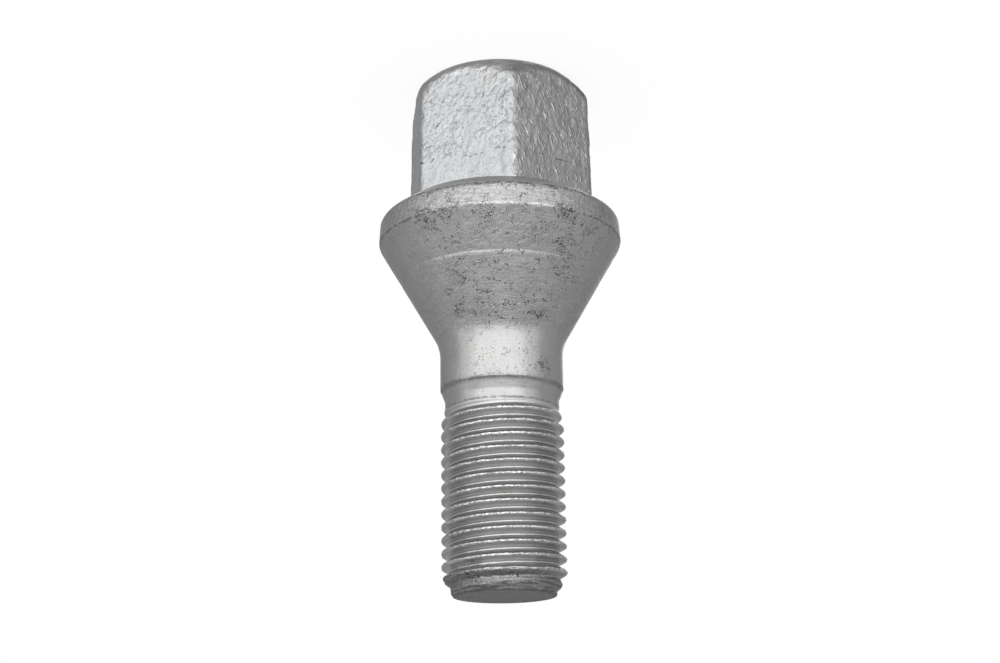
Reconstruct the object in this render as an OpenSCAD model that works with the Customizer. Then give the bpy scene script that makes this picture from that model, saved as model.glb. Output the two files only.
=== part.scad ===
/* [Head] */
// Width across the flats at the foot of the hexagon
hex_af = 17.1; // [14:0.1:18]
// Width across the flats that the forging draft takes off between foot and top
hex_draft = 0.4; // [0:0.1:1]
// Height of the hexagon, from its top face to the collar
head_h = 13.3; // [8:0.1:18]
// Rounding of the six upright corners
hex_corner_r = 0.65; // [0.3:0.05:1.2]
// Diameter of the flat top face
crown_flat_d = 14.6; // [10:0.1:15]
// Diameter at which the crown's curve has run past the corners
crown_rim_d = 20.0; // [19:0.1:22]
// Height of the crown's curve
crown_h = 2.8; // [2:0.1:4]
// Radius of the crown's curve
crown_r = 6.6; // [4:0.1:12]

/* [Collar] */
// Diameter of the collar where its shoulder starts, just outside the corners
shoulder_d = 19.7; // [19:0.1:21]
// Height of the sloping shoulder
shoulder_h = 1.35; // [0.8:0.05:2.5]
// Diameter of the rim at the top of its wall
rim_top_d = 23.7; // [22:0.1:26]
// Diameter of the rim at the foot of its wall, the widest place
rim_d = 24.1; // [23:0.1:26]
// Height of the rim's wall
rim_h = 2.05; // [1.5:0.05:4]
// Rounding between shoulder and rim
rim_top_r = 0.9; // [0.3:0.1:1.2]
// Rounding between rim and seat
rim_foot_r = 1.5; // [0.5:0.1:2]

/* [Seat and shank] */
// Included angle of the cone seat
seat_angle = 60; // [50:1:90]
// Radius of the fillet between seat and shank
seat_fillet_r = 4.4; // [2:0.1:6]
// Diameter of the plain shank
shank_d = 11.9; // [11:0.1:13]
// Length of the plain shank, from the point of the seat's cone line
shank_l = 4.4; // [2.5:0.1:20]
// Length of the taper from the shank down to the neck
taper_l = 1.1; // [0.5:0.1:3]
// Diameter of the neck between shank and thread
neck_d = 11.0; // [10.6:0.1:11.2]
// Length of the neck
neck_l = 0.75; // [0.5:0.05:3]

/* [Thread] */
// Diameter over the crests
thread_d = 11.8; // [11.4:0.1:12]
// Diameter at the roots
root_d = 10.4; // [10:0.1:10.6]
// Pitch of the thread
pitch = 1.25; // [1:0.25:1.75]
// Length of the thread, from the neck to the end face
thread_l = 17.9; // [10:0.1:30]
// Length over which the thread rises out of the neck
runout_l = 1.6; // [0.8:0.1:3]
// Angle round the axis at which the crest leaves the neck
thread_clock = 46; // [0:1:359]
// Diameter of the flat end face
end_d = 9.7; // [8.5:0.1:10]
// Half angle of the point's chamfer, from the axis
point_angle = 30; // [25:1:45]
// Flats round one turn of the thread
thread_sides = 48; // [24:12:60]

/* [Hidden] */
$fn = 96;

// Heights above the top face of the head, on which the bolt stands
collar_z = head_h;
rim_top_z = collar_z + shoulder_h;
rim_foot_z = rim_top_z + rim_h;
seat_end_z = rim_foot_z + (rim_d - shank_d) / 2 / tan(seat_angle / 2);
shank_end_z = seat_end_z + shank_l;
neck_z = shank_end_z + taper_l;
thread_z = neck_z + neck_l;
end_z = thread_z + thread_l;

// Corner-arc centres of the hexagon at its foot and at its top
corner_foot = hex_af / sqrt(3) - hex_corner_r / cos(30);
corner_top = (hex_af - hex_draft) / sqrt(3) - hex_corner_r / cos(30);
// Thin slice that stands for an edge loop of the hexagon
slice_h = 0.01;

// Step that keeps the thread's first ring inside the neck's end face
ring_step = 0.02;
// Crest flat and root flat as fractions of the pitch, after the metric profile
crest_flat = 1 / 8;
root_flat = 1 / 4;
// Places of the four profile corners in a pitch, counted from mid crest
corner_at = [-crest_flat / 2, crest_flat / 2, (1 - root_flat) / 2, (1 + root_flat) / 2];
corners = len(corner_at);
// Turns laid out along each upright line of points, with one spare at each end
turns = ceil(thread_l / pitch) + 3;
rows = turns * corners;

// Vector maths for the turned profile
function unit(v) = v / norm(v);
function half_corner(a, b, c) = acos(unit(a - b) * unit(c - b)) / 2;
function arc_centre(a, b, c, r) =
    b + unit(unit(a - b) + unit(c - b)) * r / sin(half_corner(a, b, c));
function arc_start(a, b, c, r) = b + unit(a - b) * r / tan(half_corner(a, b, c));
function arc_end(a, b, c, r) = b + unit(c - b) * r / tan(half_corner(a, b, c));

// Corners of the turned profile as [radius, height]
shoulder = [shoulder_d / 2, collar_z];
rim_top = [rim_top_d / 2, rim_top_z];
rim_foot = [rim_d / 2, rim_foot_z];
seat_end = [shank_d / 2, seat_end_z];
shank_end = [shank_d / 2, shank_end_z];
neck_start = [neck_d / 2, neck_z];
neck_end = [neck_d / 2, thread_z];

// Centre of the crown's curve, worked out from its two ends and its radius
crown_a = [crown_flat_d / 2, 0];
crown_b = [crown_rim_d / 2, crown_h];
crown_mid = (crown_a + crown_b) / 2;
crown_side = unit([crown_a[1] - crown_b[1], crown_b[0] - crown_a[0]]);
crown_centre = crown_mid + crown_side * sqrt(pow(crown_r, 2) - pow(norm(crown_b - crown_a) / 2, 2));

// Height of one point of the thread, held between the neck and the end face
function point_z(side, row) =
    let (turn = floor(row / corners) - 1)
    let (lead = side / thread_sides + thread_clock / 360 + corner_at[row % corners])
    min(max(thread_z + pitch * (turn + lead - 1), thread_z), end_z);

// Radius of one point: metric profile, faded in from the neck, cut by the point's cone
function point_r(row, z) =
    let (full = (row % corners < 2 ? thread_d : root_d) / 2)
    let (rise = min((z - thread_z) / runout_l, 1))
    let (neck_r = neck_d / 2 - ring_step)
    min(neck_r + (full - neck_r) * rise, end_d / 2 + (end_z - z) * tan(point_angle));

// Last row on the neck's face and first row on the end face, for one side
function first_row(side) = max([for (row = [0:rows - 1]) if (point_z(side, row) <= thread_z) row]);
function last_row(side) = min([for (row = [0:rows - 1]) if (point_z(side, row) >= end_z) row]);

// Hexagon with rounded corners, wider at its foot by the forging draft
module hexagon() {
    hull()
        for (turn = [0:60:300])
            rotate([0, 0, turn]) {
                translate([0, -corner_foot, collar_z - slice_h])
                    cylinder(h = slice_h, r = hex_corner_r, $fn = 36);
                translate([0, -corner_top, 0])
                    cylinder(h = slice_h, r = hex_corner_r, $fn = 36);
            }
}

// Outline of the crown: a flat top face that curves over the corners
module crown_outline() {
    intersection() {
        translate([0, -slice_h])
            square([crown_rim_d / 2, head_h + 2 * slice_h]);
        union() {
            polygon([[0, 0], crown_a, crown_b, [crown_rim_d / 2, head_h], [0, head_h]]);
            intersection() {
                translate(crown_centre)
                    circle(r = crown_r);
                polygon([crown_a, [crown_rim_d / 2, 0], crown_b]);
            }
        }
    }
}

// Forged hexagon under its domed crown
module head() {
    intersection() {
        hexagon();
        rotate_extrude()
            crown_outline();
    }
}

// Half section of the collar, the cone seat, the shank and the neck
module turned_outline() {
    difference() {
        union() {
            polygon([
                [0, collar_z], shoulder,
                arc_start(shoulder, rim_top, rim_foot, rim_top_r),
                arc_end(shoulder, rim_top, rim_foot, rim_top_r),
                arc_start(rim_top, rim_foot, seat_end, rim_foot_r),
                arc_end(rim_top, rim_foot, seat_end, rim_foot_r),
                arc_start(rim_foot, seat_end, shank_end, seat_fillet_r),
                arc_centre(rim_foot, seat_end, shank_end, seat_fillet_r),
                arc_end(rim_foot, seat_end, shank_end, seat_fillet_r),
                shank_end, neck_start, neck_end, [0, thread_z]
            ]);
            translate(arc_centre(shoulder, rim_top, rim_foot, rim_top_r))
                circle(r = rim_top_r);
            translate(arc_centre(rim_top, rim_foot, seat_end, rim_foot_r))
                circle(r = rim_foot_r);
        }
        translate(arc_centre(rim_foot, seat_end, shank_end, seat_fillet_r))
            circle(r = seat_fillet_r);
    }
}

// Rolled thread: upright lines of points round the axis, joined along the helix
module thread() {
    firsts = [for (side = [0:thread_sides - 1]) first_row(side)];
    lasts = [for (side = [0:thread_sides - 1]) last_row(side)];
    points = [
        for (side = [0:thread_sides - 1])
            for (row = [0:rows - 1])
                let (z = point_z(side, row))
                let (r = point_r(row, z))
                let (a = 360 * side / thread_sides)
                [r * cos(a), r * sin(a), z]
    ];
    // One turn further round, the same strand lies one pitch higher
    function at(side, row) =
        let (s = side % thread_sides)
        let (k = row + (side < thread_sides ? 0 : corners))
        s * rows + min(max(k, firsts[s]), lasts[s]);
    walls = [
        for (side = [0:thread_sides - 1])
            for (row = [0:rows - 2])
                let (a = at(side, row))
                let (b = at(side + 1, row))
                let (c = at(side + 1, row + 1))
                let (d = at(side, row + 1))
                each [if (a != b && b != c && a != c) [a, c, b], if (a != d && d != c && a != c) [a, d, c]]
    ];
    neck_face = [for (side = [0:thread_sides - 1]) at(side, 0)];
    end_face = [for (side = [thread_sides - 1:-1:0]) at(side, rows - 1)];
    polyhedron(points, concat(walls, [neck_face, end_face]), convexity = 20);
}

// The bolt is one forged and rolled piece
module wheel_bolt() {
    color("silver") {
        head();
        rotate_extrude()
            turned_outline();
        thread();
    }
}

wheel_bolt();
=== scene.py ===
"""Looks of a wheel bolt: one forged and rolled steel piece under a worn zinc flake coat.

The bolt stands on the top face of its head. Shapes are modelled in millimetres, with heights
counted from that face, and the finished mesh is brought to metres.
"""

import sys

import logging
import math
from collections.abc import Callable, Sequence
from dataclasses import dataclass, field, fields
from enum import Enum

import bmesh
import bpy
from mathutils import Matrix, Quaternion, Vector

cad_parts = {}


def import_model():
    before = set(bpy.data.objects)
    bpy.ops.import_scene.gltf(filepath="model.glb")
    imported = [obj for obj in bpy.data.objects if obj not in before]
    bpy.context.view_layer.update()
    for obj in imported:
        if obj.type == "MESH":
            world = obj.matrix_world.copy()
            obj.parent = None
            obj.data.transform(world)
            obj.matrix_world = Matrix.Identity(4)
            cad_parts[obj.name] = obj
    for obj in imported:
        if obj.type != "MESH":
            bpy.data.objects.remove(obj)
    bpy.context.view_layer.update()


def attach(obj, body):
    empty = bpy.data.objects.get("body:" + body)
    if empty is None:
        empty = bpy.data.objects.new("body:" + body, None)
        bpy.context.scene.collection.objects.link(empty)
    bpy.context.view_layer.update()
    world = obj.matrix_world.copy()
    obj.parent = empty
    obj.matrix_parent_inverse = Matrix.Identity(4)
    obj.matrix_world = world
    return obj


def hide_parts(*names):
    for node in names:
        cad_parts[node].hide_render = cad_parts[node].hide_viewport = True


LOG = logging.getLogger("wheel_bolt")

NODE = "wheel_bolt"
BODY = "root"

MM = 0.001
# millimetres within which vertices merge, a ring counts as level and the thread's ends snap
MERGE = 0.0005
LEVEL = 0.01
SNAP = 0.015
FULL_TURN = 2 * math.pi
SMOOTH_ANGLE = math.radians(70)


class Lay(Enum):
    """How a rough skin lies on the metal."""

    PEBBLED = "CLOUDS"
    DENTED = "VORONOI"


def fresh_start() -> None:
    """Leaves edit mode and deselects every object."""
    if bpy.context.object and bpy.context.object.mode != "OBJECT":
        bpy.ops.object.mode_set(mode="OBJECT")
    bpy.ops.object.select_all(action="DESELECT")


def take_up(piece: bpy.types.Object) -> None:
    """Makes a piece the only selected and active one.

    Args:
        piece: the piece.
    """
    fresh_start()
    piece.select_set(True)
    bpy.context.view_layer.objects.active = piece


def pick(piece: bpy.types.Object, kind: str, test: Callable[..., bool]) -> int:
    """Selects vertices, edges or faces of the piece in edit mode.

    Args:
        piece: the mesh object in edit mode.
        kind: VERT, EDGE or FACE.
        test: says whether an element is wanted.

    Returns:
        How many elements were picked.
    """
    bpy.ops.mesh.select_mode(type=kind)
    bpy.ops.mesh.select_all(action="DESELECT")
    mesh = bmesh.from_edit_mesh(piece.data)
    elements = {"VERT": mesh.verts, "EDGE": mesh.edges, "FACE": mesh.faces}[kind]
    wanted = [e for e in elements if test(e)]
    for element in wanted:
        element.select_set(True)
    mesh.select_flush_mode()
    bmesh.update_edit_mesh(piece.data)
    return len(wanted)


def grow_rings(outline: Sequence[Vector]) -> None:
    """Draws the selected ring out along an outline, one ring a point.

    Args:
        outline: points as (radius, height); the selected ring is at the first.
    """
    for here, there in zip(outline, outline[1:]):
        bpy.ops.mesh.extrude_region_move(
            TRANSFORM_OT_translate={"value": (0, 0, there[1] - here[1])}
        )
        ratio = there[0] / here[0]
        bpy.ops.transform.resize(value=(ratio, ratio, 1), center_override=(0, 0, there[1]))


def open_at(height: float) -> Callable[[bmesh.types.BMEdge], bool]:
    """A test for the edges of an open ring at a height."""
    return lambda edge: edge.is_boundary and all(abs(v.co.z - height) < LEVEL for v in edge.verts)


def cap_ring(piece: bpy.types.Object, radius: float, height: float, steps: int, dish: float) -> None:
    """Closes the open ring at a height with a face that may be dished.

    Args:
        piece: the mesh object.
        radius: radius of the ring.
        height: height of the ring.
        steps: rings between the rim and the middle.
        dish: how far the middle lies from the rim, along the axis.
    """
    take_up(piece)
    bpy.ops.object.mode_set(mode="EDIT")
    pick(piece, "EDGE", open_at(height))
    shares = [1 - (step + 1) / (steps + 1) for step in range(steps)]
    rings = [Vector((radius, height))]
    rings += [Vector((radius * s, height + dish * (1 - s * s))) for s in shares]
    grow_rings(rings)
    bpy.ops.mesh.extrude_region_move(
        TRANSFORM_OT_translate={"value": (0, 0, height + dish - rings[-1][1])}
    )
    bpy.ops.mesh.merge(type="CENTER")
    bpy.ops.object.mode_set(mode="OBJECT")


def merge_doubles(piece: bpy.types.Object) -> None:
    """Merges the vertices of a piece that lie on each other.

    Args:
        piece: the mesh object.
    """
    take_up(piece)
    bpy.ops.object.mode_set(mode="EDIT")
    bpy.ops.mesh.select_mode(type="VERT")
    bpy.ops.mesh.select_all(action="SELECT")
    bpy.ops.mesh.remove_doubles(threshold=MERGE)
    bpy.ops.object.mode_set(mode="OBJECT")


def round_corner(
    before: Vector, corner: Vector, after: Vector, radius: float, steps: int
) -> list[Vector]:
    """Points of an arc that rounds a corner of an outline.

    Args:
        before: the point before the corner.
        corner: the sharp corner.
        after: the point after it.
        radius: radius of the arc.
        steps: parts of the arc.

    Returns:
        The arc's points, from the first side to the second.
    """
    first = (before - corner).normalized()
    second = (after - corner).normalized()
    half = math.acos(first.dot(second)) / 2
    centre = corner + (first + second).normalized() * radius / math.sin(half)
    start = corner + first * radius / math.tan(half) - centre
    end = corner + second * radius / math.tan(half) - centre
    sweep = math.atan2(start.cross(end), start.dot(end))
    points = []
    for step in range(steps + 1):
        turn = sweep * step / steps
        cosine, sine = math.cos(turn), math.sin(turn)
        points.append(
            centre
            + Vector((start.x * cosine - start.y * sine, start.x * sine + start.y * cosine))
        )
    return points


def divide(outline: Sequence[Vector], longest: float) -> list[Vector]:
    """Puts points on the long stretches of an outline.

    Args:
        outline: points as (radius, height).
        longest: the longest stretch that stays whole.

    Returns:
        The outline with the added points.
    """
    points = [outline[0]]
    for here, there in zip(outline, outline[1:]):
        parts = max(1, math.ceil((there - here).length / longest))
        points += [here.lerp(there, part / parts) for part in range(1, parts + 1)]
    return points


def soft_min(a: float, b: float, blend: float) -> float:
    """The smaller of two lengths, rounded over where they meet."""
    gap = max(blend - abs(a - b), 0) / blend
    return min(a, b) - gap * gap * blend / 4


def rising(value: float, low: float, high: float) -> float:
    """A share that rises smoothly from 0 at low to 1 at high."""
    share = min(max((value - low) / (high - low), 0), 1)
    return share * share * (3 - 2 * share)


def between(value: float, low: float, high: float, soft: float) -> float:
    """A share that is 1 from low to high and fades over a soft edge inside them."""
    return rising(value, low, low + soft) * (1 - rising(value, high - soft, high))


@dataclass(frozen=True)
class Skin:
    """A rough skin that a Displace modifier raises on part of a piece.

    grain is the size of its features along X, Y and Z, and depth its height, in millimetres.
    """

    lay: Lay
    grain: tuple[float, float, float]
    depth: float

    def raise_on(self, piece: bpy.types.Object, share: Callable[[Vector], float]) -> None:
        """Raises the skin.

        Args:
            piece: the mesh object.
            share: how much of the skin lies at a point, from 0 to 1.
        """
        take_up(piece)
        group = piece.vertex_groups.new(name="skin")
        for vertex in piece.data.vertices:
            weight = share(vertex.co)
            if weight > 0:
                group.add([vertex.index], weight, "REPLACE")
        bpy.ops.object.empty_add(location=(0, 0, 0))
        scale = bpy.context.object
        scale.scale = self.grain
        bpy.context.view_layer.update()
        pattern = bpy.data.textures.new("skin", self.lay.value)
        pattern.noise_scale = 1.0
        take_up(piece)
        bpy.ops.object.modifier_add(type="DISPLACE")
        modifier = piece.modifiers[-1]
        modifier.texture = pattern
        modifier.texture_coords = "OBJECT"
        modifier.texture_coords_object = scale
        modifier.strength = self.depth
        modifier.mid_level = 0.5
        modifier.vertex_group = group.name
        bpy.ops.object.modifier_apply(modifier=modifier.name)
        piece.vertex_groups.clear()
        bpy.data.objects.remove(scale)
        bpy.data.textures.remove(pattern)


@dataclass
class Head:
    """Forged hexagon head with a domed crown, drawn from its foot to its top face.

    The drawn band lies at the foot of the flats, and the worn crown beside the top face.
    crown_margin is how far below the crown its curve still blunts the sides, and
    blunt_corner the radius to which the corners are blunted at the top.
    """

    across_flats: float = 17.1
    draft: float = 0.4
    height: float = 13.3
    corner_radius: float = 0.65
    crown_flat: float = 15.3
    crown_rim: float = 20.0
    crown_depth: float = 2.8
    crown_radius: float = 12.0
    crown_blend: float = 0.6
    crown_margin: float = 0.4
    worn_crown: float = 1.5
    drawn_band: float = 3.1
    blunt_corner: float = 9.62
    corner_blend: float = 0.32
    side_columns: int = 60
    corner_columns: int = 8
    wall_rings: int = 68
    crown_rings: int = 20
    top_rings: int = 4

    def band_height(self) -> float:
        """Height at which the drawn band starts."""
        return self.height - self.drawn_band

    def crown_centre(self) -> Vector:
        """Centre of the crown's curve.

        Returns:
            The centre as (radius, height).
        """
        start = Vector((self.crown_flat / 2, 0))
        end = Vector((self.crown_rim / 2, self.crown_depth))
        side = Vector((start.y - end.y, end.x - start.x)).normalized()
        reach = math.sqrt(self.crown_radius**2 - ((end - start).length / 2) ** 2)
        return (start + end) / 2 + side * reach

    def build(self) -> bpy.types.Object:
        """Models the head.

        Returns:
            The head, open at its foot.
        """
        fresh_start()
        corner = self.across_flats / math.sqrt(3)
        bpy.ops.mesh.primitive_circle_add(
            vertices=6, radius=corner, fill_type="NGON", enter_editmode=True
        )
        head = bpy.context.object
        head.name = "head"
        bpy.ops.transform.translate(value=(0, 0, self.height))
        bpy.ops.mesh.select_all(action="SELECT")
        bpy.ops.mesh.bevel(
            offset=self.corner_radius / math.tan(math.radians(60)),
            segments=self.corner_columns,
            affect="VERTICES",
        )
        bpy.ops.mesh.select_all(action="SELECT")
        bpy.ops.mesh.delete(type="ONLY_FACE")
        pick(head, "EDGE", lambda edge: edge.calc_length() > self.across_flats / 4)
        bpy.ops.mesh.subdivide(number_cuts=self.side_columns - 1)
        bpy.ops.mesh.select_all(action="SELECT")
        grow_rings(self.rings())
        bpy.ops.object.mode_set(mode="OBJECT")
        self.press_crown(head)
        cap_ring(head, self.crown_flat / 2, 0, self.top_rings, 0)
        self.roughen(head)
        return head

    def rings(self) -> list[Vector]:
        """Rings of the head, closer together on the crown, narrowed by the forging draft.

        Returns:
            Points as (share of the foot's width, height).
        """
        wall = [
            self.height + (self.crown_depth - self.height) * step / self.wall_rings
            for step in range(self.wall_rings)
        ]
        crown = [
            self.crown_depth * (1 - step / self.crown_rings)
            for step in range(self.crown_rings + 1)
        ]
        narrowing = self.draft / self.across_flats / self.height
        return [Vector((1 - narrowing * (self.height - z), z)) for z in wall + crown]

    def press_crown(self, head: bpy.types.Object) -> None:
        """Presses the dome into the top of the hexagon and blunts its corners towards it.

        Args:
            head: the plain hexagon, open at its top.
        """
        centre = self.crown_centre()
        foot_corner = self.across_flats / math.sqrt(3)
        for vertex in head.data.vertices:
            at = vertex.co
            radius = math.hypot(at.x, at.y)
            blunt = foot_corner + (self.blunt_corner - foot_corner) * (1 - at.z / self.height)
            wanted = soft_min(radius, blunt, self.corner_blend)
            if at.z <= self.crown_depth + self.crown_margin:
                dome = centre.x + math.sqrt(self.crown_radius**2 - (at.z - centre.y) ** 2)
                wanted = soft_min(wanted, dome, self.crown_blend)
            at.x *= wanted / radius
            at.y *= wanted / radius

    def roughen(self, head: bpy.types.Object) -> None:
        """Raises the forged skin of the sides and the crown.

        Args:
            head: the smooth head.
        """
        foot = self.height
        band = self.band_height()

        def side(at: Vector) -> float:
            """Full on the flats, less in the drawn band at the foot."""
            return between(at.z, 0.4, foot - 0.05, 0.5) * (1 - 0.6 * rising(at.z, band - 0.3, band + 0.4))

        def drawn(at: Vector) -> float:
            """Full on the drawn band at the foot of the flats."""
            return between(at.z, band - 0.6, foot - 0.05, 0.6)

        def corner(at: Vector) -> float:
            """Full on the corners at front and back, less on those at the sides."""
            worn = rising(math.hypot(at.x, at.y), 8.9, 9.5) * (1 - 0.85 * rising(abs(at.x), 2.0, 5.0))
            return worn * between(at.z, 1.2, foot - 0.1, 1.0)

        def crown(at: Vector) -> float:
            """Full on the crown, nothing at the top face."""
            return between(at.z, 0.05, 3.2, 0.5)

        Skin(Lay.PEBBLED, (2.4, 2.4, 2.4), 0.16).raise_on(head, side)
        Skin(Lay.PEBBLED, (1.6, 1.6, 2.0), 0.42).raise_on(head, corner)
        Skin(Lay.PEBBLED, (0.45, 0.45, 0.55), 0.08).raise_on(head, side)
        Skin(Lay.DENTED, (0.9, 0.9, 1.1), 0.06).raise_on(head, side)
        Skin(Lay.PEBBLED, (0.40, 0.40, 2.4), 0.04).raise_on(head, drawn)
        Skin(Lay.PEBBLED, (0.8, 0.8, 0.6), 0.09).raise_on(head, crown)


@dataclass
class Body:
    """Turned stretch of the bolt: collar, cone seat, plain shank and neck.

    turned_ring is the diameter of a fine step on the cone. ring_run is how far from it,
    towards the rim, the cone starts to dip.
    """

    foot: float = 13.3
    shoulder: float = 19.7
    shoulder_height: float = 1.35
    rim_top: float = 23.7
    rim: float = 23.98
    rim_height: float = 2.154
    rim_top_radius: float = 0.9
    rim_foot_radius: float = 0.8
    seat_angle: float = 60
    seat_fillet: float = 4.4
    shank: float = 11.9
    shank_length: float = 4.4
    taper: float = 1.1
    neck: float = 11.0
    neck_length: float = 0.75
    turned_ring: float = 19.54
    ring_step: float = 0.03
    ring_run: float = 1.3
    ring_lip: float = 0.12
    shank_step: float = 0.07
    shank_round: float = 0.06
    neck_fillet: float = 0.6
    ring_spacing: float = 0.3
    columns: int = 180

    def rim_top_height(self) -> float:
        """Height at which the shoulder meets the rim."""
        return self.foot + self.shoulder_height

    def edge_height(self) -> float:
        """Height of the edge between rim and seat."""
        return self.rim_top_height() + self.rim_height

    def seat_height(self, radius: float) -> float:
        """Height at which the seat's cone has a radius."""
        drop = (self.rim / 2 - radius) / math.tan(math.radians(self.seat_angle / 2))
        return self.edge_height() + drop

    def mark_height(self) -> float:
        """Height of the turned ring."""
        return self.seat_height(self.turned_ring / 2)

    def shank_end_height(self) -> float:
        """Height at which the shank steps down to the taper."""
        return self.seat_height(self.shank / 2) + self.shank_length

    def thread_start(self) -> float:
        """Height at which the neck ends and the thread starts."""
        return self.shank_end_height() + self.taper + self.neck_length

    def outline(self) -> list[Vector]:
        """Outline of the turned stretch.

        Returns:
            Points as (radius, height), from the shoulder to the end of the neck.
        """
        shoulder = Vector((self.shoulder / 2, self.foot))
        top = Vector((self.rim_top / 2, self.rim_top_height()))
        foot = Vector((self.rim / 2, self.edge_height()))
        seat_end = Vector((self.shank / 2, self.seat_height(self.shank / 2)))
        shank_end = seat_end + Vector((0, self.shank_length))
        step_foot = shank_end + Vector((-self.shank_step, self.shank_step))
        neck = Vector((self.neck / 2, shank_end.y + self.taper))
        neck_end = neck + Vector((0, self.neck_length))
        along = (seat_end - foot).normalized()
        out = Vector((along.y, -along.x))
        lip = Vector((self.turned_ring / 2, self.mark_height()))
        recess = lip - out * self.ring_step
        step_length = self.ring_step / math.sin(math.radians(self.seat_angle / 2))
        points = [shoulder]
        points += round_corner(shoulder, top, foot, self.rim_top_radius, 8)
        points += round_corner(top, foot, seat_end, self.rim_foot_radius, 5)
        points += [lip - along * self.ring_run - out * self.ring_step / 3]
        points += [lip - along * self.ring_lip - out * self.ring_step / 1.5]
        points += [recess, recess + Vector((0, step_length))]
        points += round_corner(foot, seat_end, shank_end, self.seat_fillet, 10)
        points += [shank_end - Vector((0, self.shank_round))]
        points += [shank_end - Vector((self.shank_round / 5, 0)), step_foot]
        points += round_corner(step_foot, neck, neck_end, self.neck_fillet, 3)
        points += [neck_end]
        return divide(points, self.ring_spacing)

    def build(self) -> bpy.types.Object:
        """Models the turned stretch.

        Returns:
            The stretch, open at both ends.
        """
        fresh_start()
        outline = self.outline()
        bpy.ops.mesh.primitive_circle_add(
            vertices=self.columns, radius=outline[0][0], enter_editmode=True
        )
        body = bpy.context.object
        body.name = "body"
        bpy.ops.transform.translate(value=(0, 0, outline[0][1]))
        grow_rings(outline)
        bpy.ops.object.mode_set(mode="OBJECT")
        self.roughen(body)
        return body

    def roughen(self, body: bpy.types.Object) -> None:
        """Raises the uneven skins of the rim, its edge, the cone and the step at the shank's end.

        Args:
            body: the smooth stretch.
        """
        rim_z = self.rim_top_height()
        edge_z = self.edge_height()
        mark = self.mark_height()
        step_z = self.shank_end_height()

        def wall(at: Vector) -> float:
            """Full from the rim's wall to the turned ring."""
            return between(at.z, rim_z - 0.1, mark - 0.1, 0.5)

        def edge(at: Vector) -> float:
            """Full on the edge between rim and seat."""
            return between(at.z, edge_z - 0.5, edge_z + 0.6, 0.4)

        def plain(at: Vector) -> float:
            """Full on seat and shank, nothing at the neck's end."""
            return between(at.z, mark + 0.2, self.thread_start() - 1.2, 0.8)

        def step(at: Vector) -> float:
            """Full on the step at the shank's end."""
            return between(at.z, step_z - 0.25, step_z + 0.35, 0.2)

        Skin(Lay.PEBBLED, (1.1, 1.1, 0.8), 0.07).raise_on(body, wall)
        Skin(Lay.PEBBLED, (0.45, 0.45, 0.4), 0.07).raise_on(body, edge)
        Skin(Lay.PEBBLED, (1.5, 1.5, 0.9), 0.02).raise_on(body, plain)
        Skin(Lay.PEBBLED, (0.5, 0.5, 0.3), 0.06).raise_on(body, step)


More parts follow.
